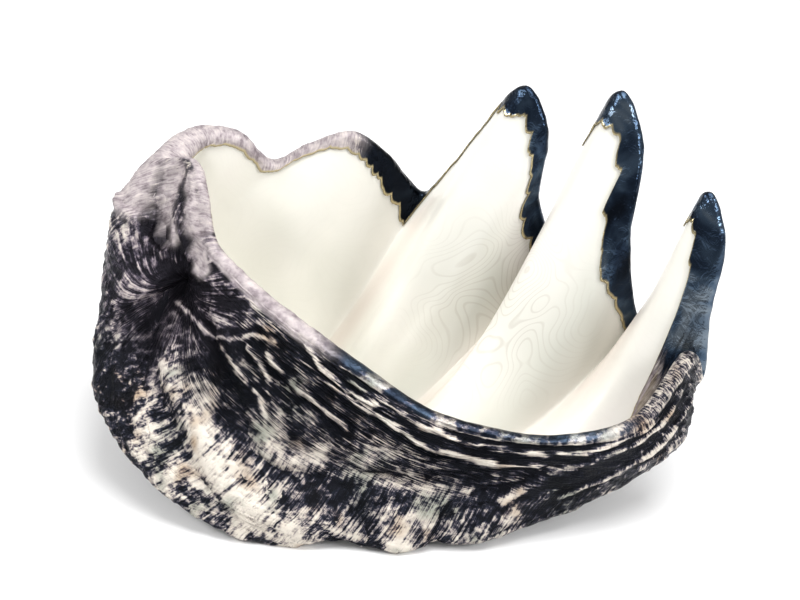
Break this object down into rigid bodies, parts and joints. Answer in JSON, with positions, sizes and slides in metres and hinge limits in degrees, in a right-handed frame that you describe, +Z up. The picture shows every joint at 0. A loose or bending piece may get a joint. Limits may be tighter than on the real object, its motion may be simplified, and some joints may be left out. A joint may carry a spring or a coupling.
{
  "type": "giant clam shell",
  "caption": "Half of a giant clam shell, lying hollow side up as a display bowl: ivory inside, tall fluted edge, outside clad in darkened silver that laps over the rim",
  "frame": {"origin": "the middle of the bounding box in plan, on the level of the flat ground underside that it stands on", "axes": "+X along the hinge edge, away from the beak; +Y from the hinge edge towards the tall fingers; +Z up, out of the hollow"},
  "size_m": [0.6574, 0.4732, 0.3952],
  "materials": {
    "shell_ivory": "smooth, softly polished natural shell",
    "darkened_silver": "electroformed silver, darkened to blue-black in the hollows, bright on the crests and polished tips"
  },
  "bodies": {
    "root": {"shell_valve": "shell_ivory", "silver_cladding": "darkened_silver"}
  },
  "joints": []
}
